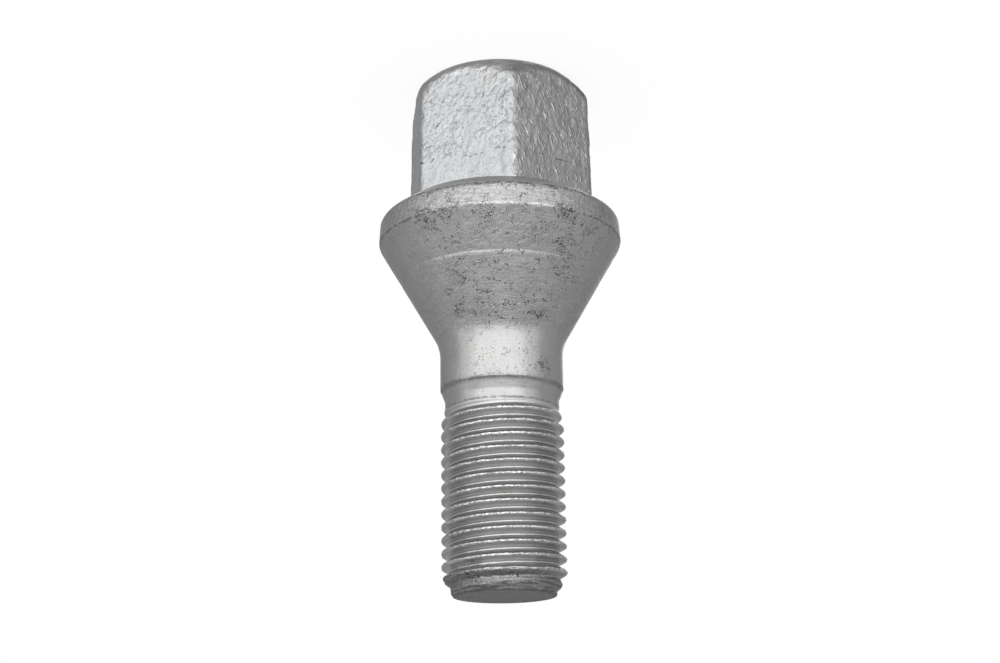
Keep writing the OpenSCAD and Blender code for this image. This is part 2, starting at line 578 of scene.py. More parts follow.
@dataclass
class Thread:
    """Rolled thread with rounded crests and roots, its run-out and its chamfered point.

    clock is the angle round the axis at which the crest leaves the neck. point_groove is the
    share of the thread's depth that stays on the pressed point.
    """

    start: float
    neck: float
    crest: float = 11.8
    root: float = 10.4
    pitch: float = 1.25
    length: float = 17.899
    run_out: float = 1.6
    clock: float = 46
    end: float = 9.7
    point_angle: float = 30
    point_groove: float = 0.35
    point_blend: float = 0.12
    point_length: float = 1.8
    end_dish: float = 0.05
    crest_round: float = 0.22
    root_round: float = 0.17
    flank_angle: float = 30
    crest_steps: int = 4
    root_steps: int = 3
    end_rings: int = 5
    columns: int = 180

    def end_height(self) -> float:
        """Height of the end face."""
        return self.start + self.length

    def point_slope(self) -> float:
        """How much the point widens over its length."""
        return math.tan(math.radians(self.point_angle))

    def half_profile(self) -> list[tuple[float, float]]:
        """Profile of the thread from mid crest to mid root, both rounded.

        Returns:
            Points as (radius, distance along the axis).
        """
        turn = math.radians(90 - self.flank_angle)
        points = []
        for step in range(self.crest_steps + 1):
            angle = turn * step / self.crest_steps
            drop = self.crest_round * (1 - math.cos(angle))
            points.append((self.crest / 2 - drop, self.crest_round * math.sin(angle)))
        for step in range(self.root_steps + 1):
            angle = turn * (1 - step / self.root_steps)
            rise = self.root_round * (1 - math.cos(angle))
            along = self.pitch / 2 - self.root_round * math.sin(angle)
            points.append((self.root / 2 + rise, along))
        return points

    def build(self) -> bpy.types.Object:
        """Models the thread.

        Returns:
            The thread, open at the neck and closed by its end face.
        """
        fresh_start()
        bpy.ops.mesh.primitive_circle_add(vertices=3, radius=0.1, enter_editmode=True)
        thread = bpy.context.object
        thread.name = "thread"
        bpy.ops.mesh.select_mode(type="VERT")
        bpy.ops.mesh.select_all(action="SELECT")
        bpy.ops.mesh.merge(type="CENTER")
        bottom = self.start + self.pitch * (self.clock / 360 - 2)
        half = self.half_profile()
        points = [(radius, bottom - along) for radius, along in reversed(half[1:])]
        points += [(radius, bottom + along) for radius, along in half]
        bpy.ops.transform.translate(value=(points[0][0], 0, points[0][1]))
        for here, there in zip(points, points[1:]):
            bpy.ops.mesh.extrude_region_move(
                TRANSFORM_OT_translate={"value": (there[0] - here[0], 0, there[1] - here[1])}
            )
        take_up(thread)
        bpy.ops.object.modifier_add(type="SCREW")
        screw = thread.modifiers[-1]
        screw.axis = "Z"
        screw.angle = FULL_TURN
        screw.screw_offset = self.pitch
        screw.iterations = math.ceil(self.length / self.pitch) + 4
        screw.steps = self.columns
        screw.render_steps = self.columns
        bpy.ops.object.modifier_apply(modifier=screw.name)
        merge_doubles(thread)
        self.trim(thread)
        merge_doubles(thread)
        self.roughen(thread)
        cap_ring(thread, self.end / 2, self.end_height(), self.end_rings, -self.end_dish)
        return thread

    def roughen(self, thread: bpy.types.Object) -> None:
        """Breaks up the rolled crests, and makes the point uneven up to its end face's rim.

        Args:
            thread: the trimmed thread, open at its end.
        """
        top = self.end_height()

        def crest(at: Vector) -> float:
            """Full on the crests, nothing on the flanks."""
            outer = rising(math.hypot(at.x, at.y), self.crest / 2 - 0.22, self.crest / 2 - 0.06)
            return outer * between(at.z, self.start + 0.3, top - 0.6, 0.3)

        def point(at: Vector) -> float:
            """Full on the chamfer, nothing at the end face's rim."""
            return between(at.z, top - 2.6, top - 0.02, 0.4)

        Skin(Lay.PEBBLED, (0.45, 0.45, 0.25), 0.08).raise_on(thread, crest)
        Skin(Lay.PEBBLED, (0.9, 0.9, 0.22), 0.16).raise_on(thread, point)
        for vertex in thread.data.vertices:
            vertex.co.z = min(vertex.co.z, top)

    def trim(self, thread: bpy.types.Object) -> None:
        """Fades the thread into the neck, and presses its point and its end face.

        Args:
            thread: the thread with spare turns at both ends.
        """
        top = self.end_height()
        for vertex in thread.data.vertices:
            at = vertex.co
            at.z = min(max(at.z, self.start), top)
            if at.z < self.start + SNAP:
                at.z = self.start
            if at.z > top - SNAP:
                at.z = top
            radius = math.hypot(at.x, at.y)
            rise = min((at.z - self.start) / self.run_out, 1)
            wanted = self.neck / 2 + (radius - self.neck / 2) * rise
            wanted = min(wanted, self.crest / 2)
            groove = (self.crest / 2 - wanted) * self.point_groove * rising(top - at.z, 0.05, 0.45)
            cone = self.end / 2 + (top - at.z) * self.point_slope() - groove
            wanted = self.end / 2 if at.z >= top else soft_min(wanted, cone, self.point_blend)
            at.x *= wanted / radius
            at.y *= wanted / radius


class Wire:
    """A value in a material's node tree, with the operators of a number."""

    def __init__(self, sheet: "NodeSheet", socket: bpy.types.NodeSocket) -> None:
        """Keeps the sheet that the socket is on."""
        self.sheet = sheet
        self.socket = socket

    def __add__(self, other: "Wire | float") -> "Wire":
        """Sum."""
        return self.sheet.maths("ADD", self, other)

    __radd__ = __add__

    def __sub__(self, other: "Wire | float") -> "Wire":
        """Difference."""
        return self.sheet.maths("SUBTRACT", self, other)

    def __rsub__(self, other: "Wire | float") -> "Wire":
        """Difference, the other way round."""
        return self.sheet.maths("SUBTRACT", other, self)

    def __mul__(self, other: "Wire | float") -> "Wire":
        """Product."""
        return self.sheet.maths("MULTIPLY", self, other)

    __rmul__ = __mul__

    def __truediv__(self, other: "Wire | float") -> "Wire":
        """Quotient."""
        return self.sheet.maths("DIVIDE", self, other)

    def __abs__(self) -> "Wire":
        """Size without sign."""
        return self.sheet.maths("ABSOLUTE", self)


@dataclass(frozen=True)
class Grain:
    """Noise whose features have a size along X, Y and Z, in millimetres.

    detail is how many finer layers lie on it, and rough how strong they are.
    """

    size: tuple[float, float, float]
    detail: float = 2.0
    rough: float = 0.5


class NodeSheet:
    """A material's node tree, drawn up in code. Positions and sizes in it are in millimetres."""

    def __init__(self, name: str) -> None:
        """Starts a material with its output and its main shader.

        Args:
            name: the material's name.
        """
        self.material = bpy.data.materials.new(name)
        self.material.use_nodes = True
        self.tree = self.material.node_tree
        self.shader = self.tree.nodes["Principled BSDF"]

    def set(self, node: bpy.types.Node, name: str | int, value: object) -> None:
        """Links a wire to a node's socket, or sets the socket's own value.

        Args:
            node: the node.
            name: the socket's name or number.
            value: a wire, a number, a vector or a colour.
        """
        if isinstance(value, Wire):
            self.tree.links.new(value.socket, node.inputs[name])
        else:
            node.inputs[name].default_value = value

    def node(
        self, kind: str, settings: dict | None = None, sockets: dict | None = None, out: str | int = 0
    ) -> Wire:
        """Adds any node.

        Args:
            kind: the node's type, without its ShaderNode prefix.
            settings: its own settings, or under "stops" a ramp's positions and values.
            sockets: values and wires of its inputs.
            out: the output that is wanted.

        Returns:
            The wanted output.
        """
        node = self.tree.nodes.new("ShaderNode" + kind)
        for name, value in (settings or {}).items():
            if name == "stops":
                self.set_stops(node.color_ramp, value)
            else:
                setattr(node, name, value)
        for name, value in (sockets or {}).items():
            self.set(node, name, value)
        return Wire(self, node.outputs[out])

    def set_stops(self, ramp: bpy.types.ColorRamp, stops: Sequence[tuple[float, float]]) -> None:
        """Sets the stops of a grey ramp.

        Args:
            ramp: the ramp of a node.
            stops: positions and grey values.
        """
        while len(ramp.elements) > 1:
            ramp.elements.remove(ramp.elements[-1])
        for number, (position, value) in enumerate(stops):
            stop = ramp.elements.new(position) if number else ramp.elements[0]
            stop.position = position
            stop.color = (value, value, value, 1)

    def maths(self, operation: str, *values: "Wire | float") -> Wire:
        """A Math node on values."""
        return self.node("Math", {"operation": operation}, dict(enumerate(values)))

    def least(self, first: "Wire | float", second: "Wire | float") -> Wire:
        """The smaller of two values."""
        return self.maths("MINIMUM", first, second)

    def most(self, first: "Wire | float", second: "Wire | float") -> Wire:
        """The larger of two values."""
        return self.maths("MAXIMUM", first, second)

    def rise(self, value: Wire, low: float, high: float) -> Wire:
        """Rises smoothly from 0 at low to 1 at high, or falls where high is below low.

        Args:
            value: what it goes by.
            low: where it is 0.
            high: where it is 1.

        Returns:
            The share.
        """
        ends = {"From Min": low, "From Max": high, "To Min": 0.0, "To Max": 1.0}
        if low > high:
            ends = {"From Min": high, "From Max": low, "To Min": 1.0, "To Max": 0.0}
        return self.node(
            "MapRange", {"interpolation_type": "SMOOTHSTEP"}, {"Value": value, **ends}
        )

    def position(self) -> Wire:
        """Position on the piece, in millimetres."""
        at = self.node("TexCoord", out="Object")
        return self.node("Mapping", sockets={"Vector": at, "Scale": (1 / MM, 1 / MM, 1 / MM)})

    def split(self, vector: Wire) -> tuple[Wire, Wire, Wire]:
        """The three parts of a vector."""
        outputs = self.node("SeparateXYZ", sockets={0: vector}).socket.node.outputs
        return Wire(self, outputs[0]), Wire(self, outputs[1]), Wire(self, outputs[2])

    def join(self, x: Wire, y: Wire, z: Wire) -> Wire:
        """A vector of three parts."""
        return self.node("CombineXYZ", sockets={0: x, 1: y, 2: z})

    def stretch(self, at: Wire, size: Sequence[float]) -> Wire:
        """Scales a position so that a feature of the given size becomes 1."""
        return self.node("Mapping", sockets={"Vector": at, "Scale": tuple(1 / s for s in size)})

    def noise(self, at: Wire, grain: Grain, out: str = "Fac") -> Wire:
        """Noise of a grain, with values round 0.5.

        Args:
            at: position.
            grain: its size and its finer layers.
            out: Fac for a number, Color for three.

        Returns:
            The noise.
        """
        sockets = {"Vector": self.stretch(at, grain.size), "Scale": 1.0}
        sockets |= {"Detail": grain.detail, "Roughness": grain.rough}
        return self.node("TexNoise", sockets=sockets, out=out)

    def cells(self, at: Wire, size: Sequence[float]) -> Wire:
        """Distances in a pattern of softly joined cells of the given size."""
        sockets = {"Vector": self.stretch(at, size), "Scale": 1.0}
        return self.node("TexVoronoi", {"feature": "SMOOTH_F1"}, sockets, out="Distance")

    def tint(self, factor: Wire, first: Sequence[float], second: Sequence[float]) -> Wire:
        """A colour between two, by a share."""
        sockets = {0: factor, 6: (*first, 1), 7: (*second, 1)}
        return self.node("Mix", {"data_type": "RGBA"}, sockets, out=2)


@dataclass(frozen=True)
class Stretch:
    """What one stretch of the bolt looks like, from start to end above its top face.

    shade is the grey of the coat, and metal its metallic share. The rest are shares of the
    layers that lie on it: pebbles and leaning streaks of the forging, rings of the turning,
    specks of grime and curled cracks.
    """

    start: float
    end: float
    shade: float
    roughness: float
    metal: float = 1.0
    pebbles: float = 0.0
    streaks: float = 0.0
    rings: float = 0.0
    specks: float = 0.0
    cracks: float = 0.0


@dataclass(frozen=True)
class Smudge:
    """A cluster of grime at a place on the bolt."""

    x: float
    y: float
    z: float
    size: float


SMUDGES = (
    Smudge(7.74, -8.26, 17.97, 1.5),
    Smudge(7.11, -9.38, 17.18, 1.2),
    Smudge(8.77, -8.25, 16.90, 1.3),
    Smudge(5.91, -5.55, 23.51, 0.9),
    Smudge(4.52, -7.31, 22.67, 0.8),
    Smudge(4.74, -5.28, 25.27, 1.2),
    Smudge(-4.35, -10.91, 17.23, 1.3),
    Smudge(-4.30, -9.40, 19.66, 1.0),
    Smudge(-4.56, -7.72, 22.04, 1.0),
    Smudge(-2.94, -6.20, 25.68, 1.1),
    Smudge(-0.12, -7.09, 25.28, 0.8),
    Smudge(-3.38, -4.89, 30.30, 1.6),
    Smudge(3.84, -4.34, 49.65, 1.6),
)

# forged skin of the head
WORKED_PATCHES = Grain((2.8, 2.8, 2.2))
BENDS = Grain((0.6, 0.6, 0.6))
LUMP_SIZE = (0.42, 0.42, 0.56)
CRUMPLES = Grain((0.40, 0.40, 0.52))
DENTS = Grain((0.75, 0.75, 1.1), 1.0)
PITS = Grain((0.40, 0.40, 0.30), 1.5)
# glints are painted highlights on the skin
GLINTS = Grain((0.17, 0.17, 0.17), 1.0)
DRAG_MARKS = Grain((0.36, 0.36, 1.1), 3.0, 0.55)
STROKES = Grain((0.34, 0.34, 0.95))
NICKS = Grain((0.50, 0.50, 1.10), 1.0)
FOLD_WAVES = Grain((2.2, 2.2, 2.2))
FOLD_GAPS = Grain((0.9, 0.9, 0.9))
PEBBLE_SLANT = -0.42
STREAK_SLANT = 0.35

# turned stretch and thread
TURNED_RINGS = Grain((1.7, 1.7, 0.08), 3.0, 0.6)
SCORES = Grain((1.3, 1.3, 0.2), 3.0, 0.6)
TORN_CRESTS = Grain((0.20, 0.20, 0.09), 2.0, 0.6)
# painted glints on the thread's crests
PAINTED_CREST_GLINTS = Grain((0.30, 0.30, 0.16), 3.0, 0.65)

# grime
SPECK_PATCHES = Grain((1.9, 1.9, 1.5), 3.0, 0.55)
DOTS = Grain((0.16, 0.16, 0.13), 3.0, 0.65)
CURLS = Grain((0.8, 0.8, 0.8), 2.5, 0.6)
CURL_GAPS = Grain((0.7, 0.7, 0.7))

# all over the bolt
CHIPS = Grain((0.5, 0.5, 0.5), 3.0, 0.6)
MOTTLES = Grain((2.6, 2.6, 2.6), 5.0, 0.6)
FINE = Grain((0.16, 0.16, 0.16), 1.0)
CASTS = Grain((3.0, 3.0, 3.0), 4.0, 0.6)


@dataclass(frozen=True)
class Place:
    """Wires that say where a point of the surface lies, in millimetres.

    radius is its distance from the axis, and facing how far the surface faces along the axis.
    uneven is its height with a ragged shift, so that no border runs straight. chips and dots are grains
    that several layers share, and painted_shade_side is 1 on the half of the head's sides that the photo
    shows darker; the coat gets painted shade there.
    """

    at: Wire
    x: Wire
    y: Wire
    z: Wire
    radius: Wire
    facing: Wire
    uneven: Wire
    chips: Wire
    dots: Wire
    painted_shade_side: Wire


@dataclass(frozen=True)
class Coat:
    """Wires with the values of the stretches, under the same names."""

    shade: Wire
    roughness: Wire
    metal: Wire
    pebbles: Wire
    streaks: Wire
    rings: Wire
    specks: Wire
    cracks: Wire


@dataclass(frozen=True)
class Forging:
    """Wires with the layers of the forged skin. Strokes and nicks lie on the side with painted shade, and
    the glints and the lighter marks of the nicks are painted highlights.
    """

    crumple: Wire
    pebble: Wire
    pit: Wire
    glint: Wire
    drag: Wire
    stroke: Wire
    nick_and_glint: Wire


@dataclass(frozen=True)
class Rolling:
    """Wires with the layers of the thread.

    lobe is its outer part, crest and root its broken crests and smooth roots, land the pressed crests of
    the point, painted_flank_shade the painted shade under the crests on the side that faces the end, and
    filled the grime of the point.
    """

    lobe: Wire
    crest: Wire
    root: Wire
    land: Wire
    painted_flank_shade: Wire
    filled: Wire


@dataclass(frozen=True)
class Layers:
    """Wires with all the layers that the coat is mixed from."""

    place: Place
    coat: Coat
    forging: Forging
    rolling: Rolling
    speck: Wire
    curl: Wire
    chip: Wire
    rubbed_edge_and_highlight: Wire
    under_edge: Wire
    dome: Wire
    start_line: Wire
    painted_step_shade: Wire
    ring: Wire
    mottle: Wire
    fine: Wire


@dataclass(frozen=True)
class ZincFlake:
    """Worn zinc flake coat on forged, turned and rolled steel, laid out by the bolt's own sizes.

    Its grey wanders between the casts cool and warm. edge_tint is the grey of grazing light,
    and soft_edge half the length over which one stretch turns into the next.
    """

    head: Head
    body: Body
    thread: Thread
    cool: tuple[float, float, float] = (0.955, 1.0, 1.055)
    warm: tuple[float, float, float] = (1.03, 1.0, 0.965)
    edge_tint: float = 0.55
    soft_edge: float = 0.08

    def stretches(self) -> tuple[Stretch, ...]:
        """Looks of the bolt, stretch by stretch from its top face.

        Returns:
            The stretches.
        """
        crown = self.head.worn_crown
        band = self.head.band_height()
        foot = self.head.height
        rim = self.body.rim_top_height() - 0.1
        edge = self.body.edge_height()
        mark = self.body.mark_height()
        taper = self.body.shank_end_height()
        shank = taper - self.body.shank_length - 0.4
        start = self.thread.start + 0.2
        overall = self.thread.end_height()
        point = overall - self.thread.point_length
        face = overall - 0.06
        return (
            Stretch(0.0, crown, 0.29, 0.36, pebbles=0.4, streaks=0.2, specks=0.5),
            Stretch(crown, band, 0.244, 0.40, pebbles=0.60, streaks=0.6, specks=0.5, cracks=0.4),
            Stretch(band, foot, 0.243, 0.40, pebbles=0.30, streaks=0.6, specks=0.3, cracks=0.2),
            # painted light: the shoulder under the hexagon gets a grey about twice that of its neighbours,
            # for the light that falls on it
            Stretch(foot, rim, 0.46, 0.40),
            Stretch(rim, edge, 0.215, 0.38, pebbles=0.35, rings=1.5, specks=0.7, cracks=0.8),
            Stretch(edge, mark, 0.222, 0.44, pebbles=0.25, rings=0.4, specks=1.5, cracks=1.0),
            Stretch(mark, shank, 0.22, 0.42, pebbles=0.15, rings=1.0, specks=0.9, cracks=1.3),
            Stretch(shank, taper, 0.23, 0.32, pebbles=0.08, rings=0.3, specks=0.5, cracks=0.5),
            Stretch(taper, start, 0.23, 0.33, rings=0.4, specks=0.3),
            Stretch(start, point, 0.34, 0.38, metal=0.85, specks=0.4),
            Stretch(point, face, 0.21, 0.50, metal=0.85, pebbles=0.2, rings=0.5, specks=1.0),
            Stretch(face, overall + 0.3, 0.17, 0.5, specks=0.2),
        )

    def along(self, sheet: NodeSheet, height: Wire, what: str) -> Wire:
        """A value of the stretches, read at a height.

        Args:
            sheet: the material's nodes.
            height: height above the top face.
            what: the value's name.

        Returns:
            The value there.
        """
        overall = self.thread.end_height()
        stops = []
        for stretch in self.stretches():
            value = getattr(stretch, what)
            stops.append(((stretch.start + self.soft_edge) / overall, value))
            stops.append(((stretch.end - self.soft_edge) / overall, value))
        return sheet.node("ValToRGB", {"stops": stops}, {"Fac": height / overall})

    def place(self, sheet: NodeSheet) -> Place:
        """Reads where a point lies.

        Args:
            sheet: the material's nodes.

        Returns:
            The place.
        """
        at = sheet.position()
        x, y, z = sheet.split(at)
        chips = sheet.noise(at, CHIPS)
        foot = self.head.height
        return Place(
            at=at,
            x=x,
            y=y,
            z=z,
            radius=sheet.maths("SQRT", x * x + y * y),
            facing=sheet.split(sheet.node("TexCoord", out="Normal"))[2],
            uneven=z + 0.25 * (chips - 0.5),
            chips=chips,
            dots=sheet.noise(at, DOTS),
            painted_shade_side=sheet.rise(x, 0.3, -0.3) * sheet.rise(z, foot, foot - 0.1),
        )

    def forging(self, sheet: NodeSheet, place: Place) -> Forging:
        """Forged skin: pebbles in patches, small ragged pits and leaning marks.

        Args:
            sheet: the material's nodes.
            place: where a point lies.

        Returns:
            The layers of the skin.
        """
        at = place.at
        slanted = sheet.join(place.x + PEBBLE_SLANT * place.z, place.y, place.z)
        leaning = sheet.join(place.x + STREAK_SLANT * place.z, place.y, place.z)
        bend = sheet.noise(at, BENDS, "Color")
        bent = sheet.node("VectorMath", {"operation": "MULTIPLY_ADD"}, {0: bend, 1: (0.4,) * 3, 2: slanted})
        lumps = 0.35 - sheet.cells(bent, LUMP_SIZE)
        worked = sheet.rise(sheet.noise(at, WORKED_PATCHES), 0.40, 0.58)
        crumple = sheet.noise(slanted, CRUMPLES) - 0.5
        dent = sheet.noise(slanted, DENTS) - 0.5
        pebble = (0.55 * lumps + 0.95 * crumple) * (0.35 + 0.65 * worked) + 0.30 * crumple + 0.7 * dent
        return Forging(
            crumple=crumple,
            pebble=pebble * (1 - 0.45 * place.painted_shade_side),
            pit=sheet.rise(sheet.noise(at, PITS), 0.62, 0.70) * (0.4 + 0.6 * worked),
            glint=sheet.rise(sheet.noise(at, GLINTS), 0.64, 0.76),
            drag=sheet.noise(leaning, DRAG_MARKS) - 0.5,
            stroke=sheet.rise(sheet.noise(leaning, STROKES), 0.57, 0.72) * place.painted_shade_side,
            nick_and_glint=sheet.rise(sheet.noise(leaning, NICKS), 0.66, 0.76) * place.painted_shade_side,
        )

    def grime(self, sheet: NodeSheet, place: Place, coat: Coat) -> tuple[Wire, Wire]:
        """Clusters of grime, at random and in the smudges. The bolt's two sides stay cleaner.

        Args:
            sheet: the material's nodes.
            place: where a point lies.
            coat: values of the stretches.

        Returns:
            The specks and the curled scratches.
        """
        smudge = None
        for spot in SMUDGES:
            ends = {0: place.at, 1: (spot.x, spot.y, spot.z)}
            away = sheet.node("VectorMath", {"operation": "DISTANCE"}, ends, "Value")
            near = sheet.rise(away, spot.size, 0.0)
            smudge = near if smudge is None else sheet.most(smudge, near)
        aside = abs(place.x) / place.radius
        aside = aside + 0.03 * sheet.least(place.z - self.body.edge_height(), 7.0)
        middle = sheet.rise(aside, 0.95, 0.75)
        patch = sheet.rise(sheet.noise(place.at, SPECK_PATCHES), 0.48, 0.64)
        cluster = sheet.least(patch * coat.specks * middle + 1.3 * smudge, 1.0)
        speck = sheet.rise(place.dots - 0.14 + 0.14 * cluster, 0.50, 0.62)
        curl = sheet.rise(abs(sheet.noise(place.at, CURLS) - 0.5), 0.028, 0.006)
        curl = curl * sheet.rise(sheet.noise(place.at, CURL_GAPS) + 0.14 * smudge, 0.49, 0.60)
        curl = sheet.least(curl * (coat.cracks * middle + 2.0 * smudge), 1.0)
        return speck, curl

    def fold(self, sheet: NodeSheet, place: Place, crumple: Wire) -> Wire:
        """Broken fold where the drawn band meets the pebbled skin of the head.

        Args:
            sheet: the material's nodes.
            place: where a point lies.
            crumple: the layer of the skin that makes the fold ragged.

        Returns:
            The fold.
        """
        foot = self.head.height
        wave = 1.1 * (sheet.noise(place.at, FOLD_WAVES) - 0.5) + 0.6 * crumple
        line = sheet.rise(abs(place.z + wave - (self.head.band_height() + 0.05)), 0.09, 0.02)
        gaps = sheet.rise(sheet.noise(place.at, FOLD_GAPS) + 0.08 * place.painted_shade_side, 0.51, 0.64)
        return line * gaps * sheet.rise(place.z, foot - 1.0, foot - 1.6)

    def rim_wear(self, sheet: NodeSheet, place: Place) -> tuple[Wire, Wire, Wire]:
        """Wear of the rim, with a painted highlight along the middle of its edge.

        Args:
            sheet: the material's nodes.
            place: where a point lies.

        Returns:
            Chips under the shoulder, the worn edge with its painted highlight, and the grime beside it.
        """
        top = self.body.rim_top_height()
        edge = self.body.edge_height()
        chip = sheet.rise(place.chips + 0.3 * (top - place.z), 0.50, 0.56)
        chip = chip * sheet.rise(place.z, top - 0.25, top)
        chip = chip * sheet.rise(place.z, top + 0.7, top + 0.3)
        # lighter line on the rim's edge, only towards front and back: partly worn coat, partly a painted
        # highlight
        rubbed_edge_and_highlight = sheet.rise(abs(place.uneven - edge + 0.02), 0.14, 0.03)
        rubbed_edge_and_highlight = rubbed_edge_and_highlight * sheet.rise(abs(place.x), 4.4, 2.8) * sheet.rise(place.chips, 0.38, 0.50)
        beside = sheet.rise(abs(place.uneven - edge - 0.10), 0.16, 0.03)
        beside = beside * sheet.rise(abs(place.x), 3.5, 5.0) * sheet.rise(place.chips, 0.44, 0.54)
        return chip, rubbed_edge_and_highlight, beside

    def dome(self, sheet: NodeSheet, place: Place) -> Wire:
        """Dome of the crown, down to a ragged border, where the coat gets painted shade.

        Args:
            sheet: the material's nodes.
            place: where a point lies.

        Returns:
            The dome.
        """
        centre = self.head.crown_centre()
        worn = self.head.worn_crown
        ragged = place.chips - 0.5
        lift = place.z - centre.y
        bowl = centre.x + sheet.maths("SQRT", self.head.crown_radius**2 - lift * lift)
        dome = sheet.rise(bowl - place.radius + 0.9 * ragged, 0.70, 0.10)
        dome = dome * sheet.rise(place.z, 4.6, 3.4)
        return sheet.most(dome, 0.7 * sheet.rise(place.z + 2.2 * ragged, worn, worn - 1.0))

    def rolling(self, sheet: NodeSheet, place: Place) -> Rolling:
        """Looks of the thread, by how deep a point lies under its crests.

        Args:
            sheet: the material's nodes.
            place: where a point lies.

        Returns:
            The layers of the thread.
        """
        thread = self.thread
        z = place.z
        overall = thread.end_height()
        root_radius = thread.root / 2
        growth = (thread.crest - thread.neck) / 2 / thread.run_out
        on_thread = sheet.rise(z, thread.start + 0.1, thread.start + 0.4)
        outer = sheet.least(thread.neck / 2 + (z - thread.start) * growth, thread.crest / 2)
        cone = thread.end / 2 + thread.point_slope() * (overall - z)
        depth = sheet.least(outer, cone) - place.radius
        pressed = sheet.rise(outer - cone, 0.02, 0.22)
        off_face = sheet.rise(place.facing, 0.97, 0.85)
        root = sheet.rise(place.radius, root_radius + 0.10, root_radius + 0.03) * on_thread
        root = root * (1 - pressed) + 0.6 * pressed * sheet.rise(depth, 0.20, 0.28)
        painted_flank_shade = sheet.rise(depth, 0.44, 0.30) * sheet.rise(depth, 0.06, 0.14) * on_thread
        point = sheet.rise(z, overall - thread.point_length, overall - 1.2)
        return Rolling(
            lobe=sheet.rise(depth, 0.55, 0.10) * on_thread,
            crest=sheet.rise(depth, 0.055, 0.01) * on_thread * (1 - pressed),
            root=root * off_face,
            land=sheet.rise(depth, 0.16, 0.04) * pressed * off_face,
            painted_flank_shade=painted_flank_shade * sheet.rise(place.facing, 0.15, 0.5),
            filled=sheet.rise(depth, 0.05, 0.22) * point * sheet.rise(place.dots, 0.36, 0.50),
        )

    def dark_lines(self, sheet: NodeSheet, place: Place) -> tuple[Wire, Wire]:
        """Ragged dark lines round the bolt.

        Args:
            sheet: the material's nodes.
            place: where a point lies.

        Returns:
            The line where the thread starts, and the painted shade in the step at the shank's end.
        """
        start = sheet.rise(abs(place.uneven - self.thread.start - 0.12), 0.14, 0.03)
        start = start * (0.35 + 0.65 * sheet.rise(place.chips, 0.36, 0.56))
        # painted shade in the step at the shank's end
        step = sheet.rise(abs(place.uneven - self.body.shank_end_height() - 0.10), 0.42, 0.05)
        step = step * (0.45 + 0.55 * sheet.rise(place.chips, 0.36, 0.60))
        return start, step

    def layers(self, sheet: NodeSheet) -> Layers:
        """Draws up all the layers.

        Args:
            sheet: the material's nodes.

        Returns:
            The layers.
        """
        place = self.place(sheet)
        coat = Coat(*(self.along(sheet, place.uneven, value.name) for value in fields(Coat)))
        forging = self.forging(sheet, place)
        speck, curl = self.grime(sheet, place, coat)
        chip, rubbed_edge_and_highlight, under_edge = self.rim_wear(sheet, place)
        start_line, painted_step_shade = self.dark_lines(sheet, place)
        return Layers(
            place=place,
            coat=coat,
            forging=forging,
            rolling=self.rolling(sheet, place),
            speck=speck,
            curl=sheet.most(curl, self.fold(sheet, place, forging.crumple)),
            chip=chip,
            rubbed_edge_and_highlight=rubbed_edge_and_highlight,
            under_edge=under_edge,
            dome=self.dome(sheet, place),
            start_line=start_line,
            painted_step_shade=painted_step_shade,
            ring=sheet.noise(place.at, TURNED_RINGS) - 0.5,
            mottle=sheet.noise(place.at, MOTTLES),
            fine=sheet.noise(place.at, FINE),
        )

    def tone(self, sheet: NodeSheet, on: Layers) -> Wire:
        """Grey of the coat, with all that darkens and brightens it.

        Args:
            sheet: the material's nodes.
            on: the layers.

        Returns:
            The grey.
        """
        place, coat, forging, rolling = on.place, on.coat, on.forging, on.rolling
        # painted shade on the crown's dome: 17 per cent darker towards positive x, up to 39 per cent
        # towards negative x
        shaded_dome = 0.17 + 0.22 * sheet.rise(place.x, 1.0, -5.0)
        scored = 0.04 + 0.46 * sheet.rise(sheet.noise(place.at, SCORES), 0.42, 0.58)
        painted_crest_glint = sheet.rise(sheet.noise(place.at, PAINTED_CREST_GLINTS), 0.40, 0.62) - 0.35
        # painted shade: the coat is 20 per cent darker on one half of the head's sides, towards negative x
        tone = coat.shade * (1 - 0.16 * rolling.lobe) * (1 - 0.20 * place.painted_shade_side)
        tone = tone * (1 - shaded_dome * on.dome)
        # painted highlights: glints with darker gaps on the crests, and a line on the rim's edge
        tone = tone + rolling.root * (0.28 - tone) + 0.26 * painted_crest_glint * rolling.crest + 0.12 * on.rubbed_edge_and_highlight
        tone = tone * (1 - rolling.land * scored) * (1 - 0.45 * rolling.filled)
        # a dark ragged line where the thread starts, and painted shade in the step at the shank's end
        tone = tone * (1 - 0.45 * on.start_line) * (1 - 0.40 * on.painted_step_shade)
        tone = tone * (0.84 + 0.32 * on.mottle) * (0.93 + 0.14 * on.fine)
        tone = tone * (1 - 0.62 * on.speck) * (1 - 0.60 * on.curl) * (1 - 0.32 * forging.pit * coat.pebbles)
        # painted highlights: small glints on the pebbled and turned skin
        tone = tone + 0.14 * forging.glint * sheet.least(coat.pebbles + coat.rings, 1.0)
        # painted highlights: the nicks get lighter marks, and their dents lie in the relief as well
        tone = tone + 0.22 * forging.nick_and_glint * coat.streaks
        tone = tone * (1 + 0.7 * on.ring * coat.rings) * (1 - 0.5 * on.under_edge) * (1 - 0.45 * on.chip)
        # painted shade under the crests, on the side of the thread that faces the end, broken by specks
        return tone * (1 - 0.18 * rolling.painted_flank_shade * sheet.rise(place.dots, 0.36, 0.52))

    def cast(self, sheet: NodeSheet, place: Place) -> Wire:
        """Cast of the grey, warmer from the collar on, and warmer on the half of the head's sides with
        painted shade, as part of that painted shade.

        Args:
            sheet: the material's nodes.
            place: where a point lies.

        Returns:
            The cast, as a colour round 1.
        """
        warmth = sheet.noise(place.at, CASTS) + 0.25 * sheet.rise(place.z, 11.0, 16.0)
        return sheet.tint(warmth + 0.2 * place.painted_shade_side - 0.15, self.cool, self.warm)

